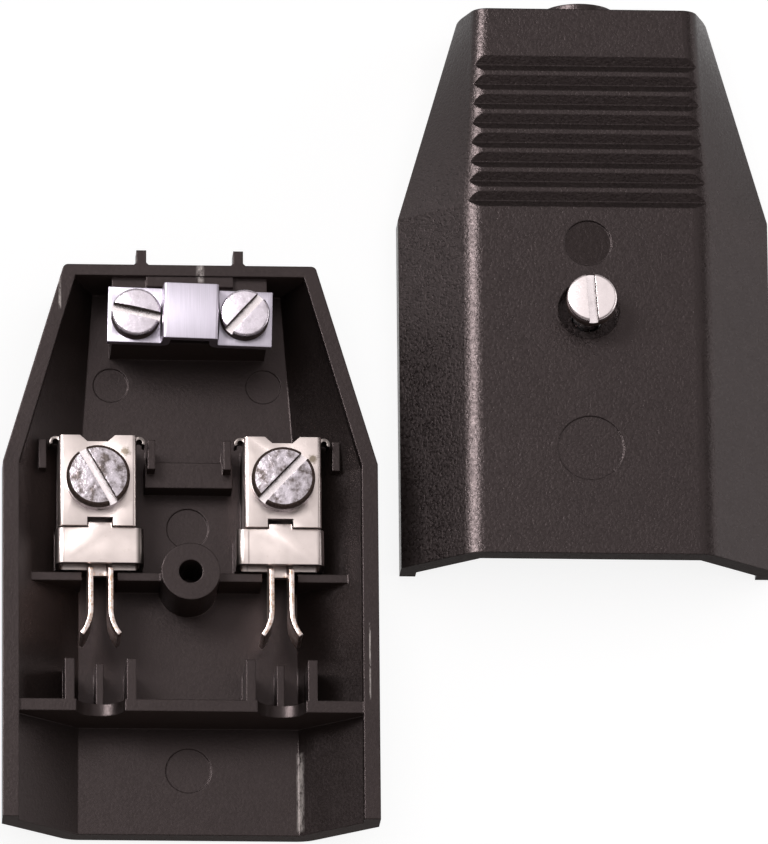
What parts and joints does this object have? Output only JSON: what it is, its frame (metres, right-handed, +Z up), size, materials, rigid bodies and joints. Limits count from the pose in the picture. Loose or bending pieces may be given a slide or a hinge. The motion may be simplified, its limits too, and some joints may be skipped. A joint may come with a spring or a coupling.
{
  "type": "cable coupler",
  "caption": "Slim flat cable coupler shown opened: a base with spring contacts, terminals and cord clamp, beside its ribbed cover with the closing screw.",
  "frame": {"origin": "middle of the two opened halves, on the table that both lie on", "axes": "+X across, from the base half to the cover half; +Y along the coupler, from the plug mouth to the cable end; +Z up"},
  "size_m": [0.0818, 0.0922, 0.014],
  "materials": {
    "black_plastic": "fine spark-eroded matt",
    "nickel_brass": "nickel-plated, satin",
    "steel_screw": "zinc-plated, bright",
    "clamp_aluminium": "brushed"
  },
  "bodies": {
    "root": {"base_shell": "black_plastic", "cover_shell": "black_plastic", "cover_screw": "steel_screw", "cord_clamp": "clamp_aluminium", "clamp_screw_left": "steel_screw", "clamp_screw_right": "steel_screw", "terminal_left": "nickel_brass", "terminal_right": "nickel_brass", "terminal_screw_left": "steel_screw", "terminal_screw_right": "steel_screw", "contact_collar_left": "nickel_brass", "contact_collar_right": "nickel_brass", "contact_fork_left": "nickel_brass", "contact_fork_right": "nickel_brass"}
  },
  "joints": []
}
